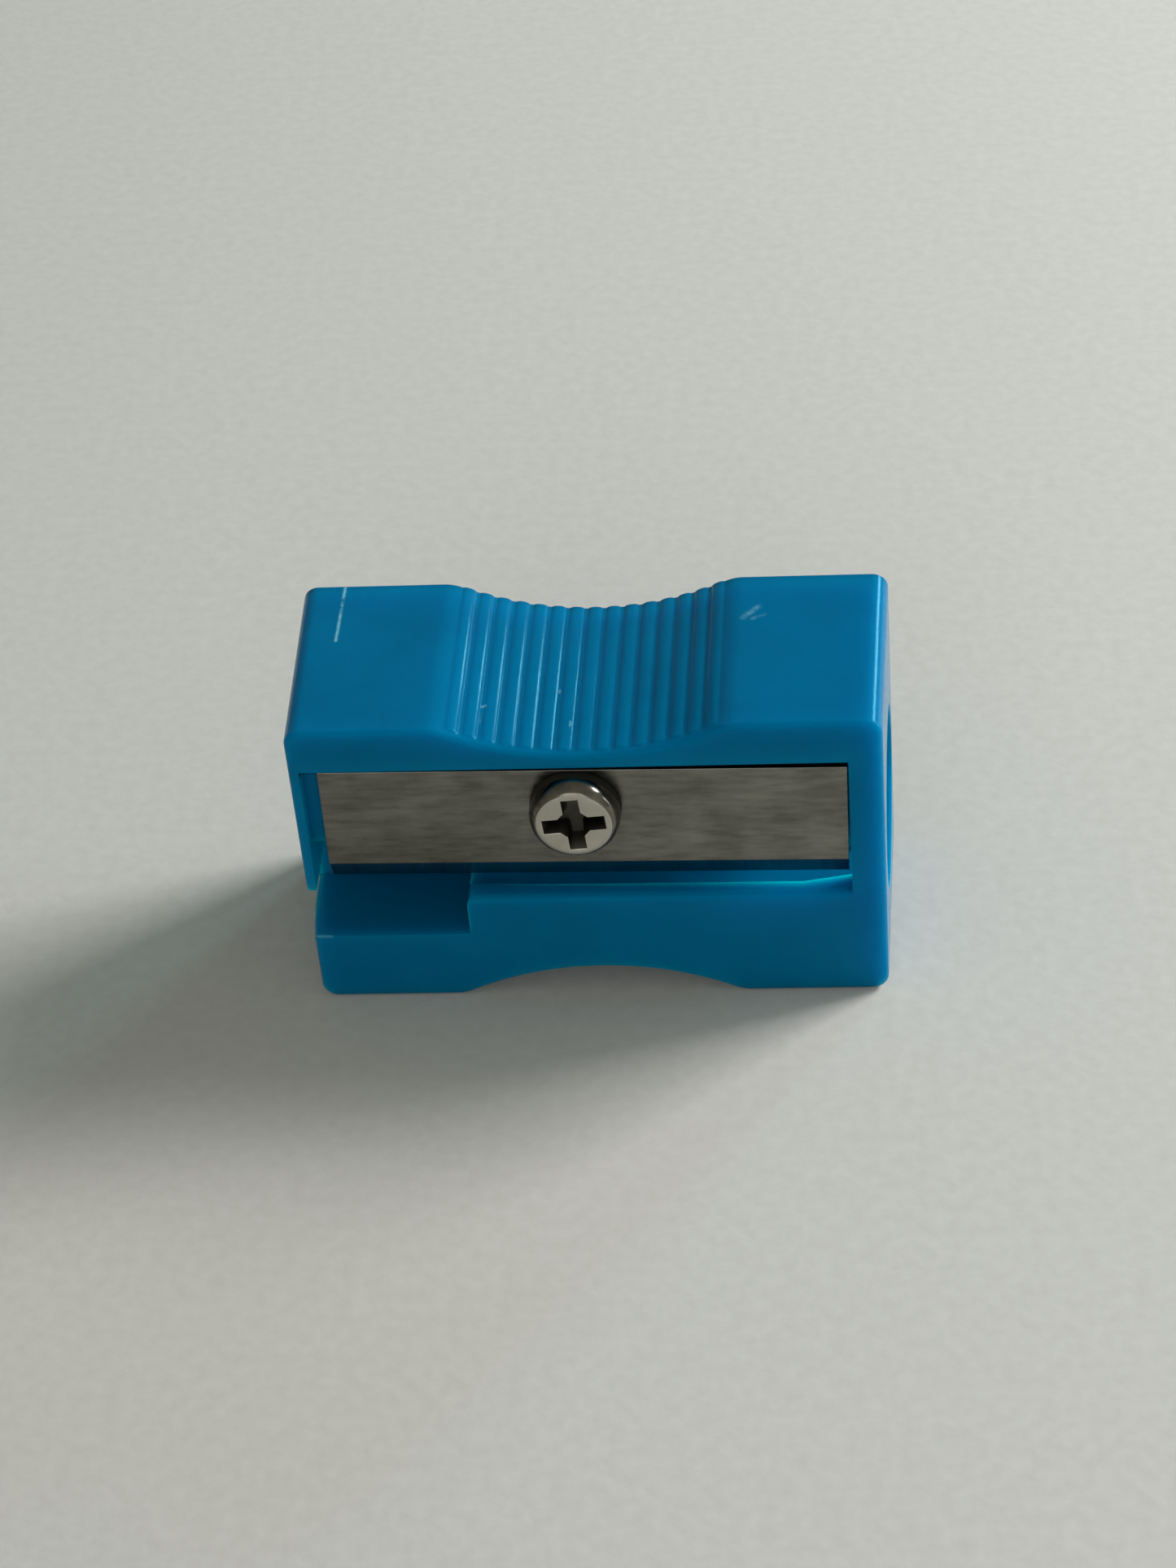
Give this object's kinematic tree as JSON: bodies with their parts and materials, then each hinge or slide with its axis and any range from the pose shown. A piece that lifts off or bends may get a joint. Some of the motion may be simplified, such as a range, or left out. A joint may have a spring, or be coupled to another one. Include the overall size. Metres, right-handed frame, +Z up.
{
  "type": "hand-held block pencil sharpener",
  "caption": "Small moulded block with ribbed waists, a tilted conical pencil bore, a shaving slot and pocket, and a flat blade held on the front by a pan-head cross screw.",
  "frame": {"origin": "bottom centre of the overall box, on the flats of the lower grip that it stands on", "axes": "+X along the length and out of the pencil bore's end, -Y out of the blade face, +Z up"},
  "size_m": [0.0256, 0.0114, 0.015],
  "materials": {
    "body_plastic": "cyan blue moulded polystyrene, satin gloss",
    "blade_steel": "rolled steel with fine lengthwise marks and a ground edge",
    "screw_nickel": "nickel-plated steel"
  },
  "bodies": {
    "body": {"sharpener_body": "body_plastic"},
    "blade": {"blade": "blade_steel"},
    "screw": {"blade_screw": "screw_nickel"}
  },
  "joints": [
    {"name": "blade_lift", "type": "slide", "parent": "body", "child": "blade", "axis": [0, -1, 0], "range_m": [0, 0.007]},
    {"name": "screw_turn", "type": "hinge", "parent": "blade", "child": "screw", "pos_m": [-0.0005, -0.00441, 0.0106], "axis": [0, -1, 0], "range_deg": [0, 3151]}
  ],
  "couplings": [
    {"joint": "screw_turn", "follows": "blade_lift", "rad_per_m": 7854}
  ]
}
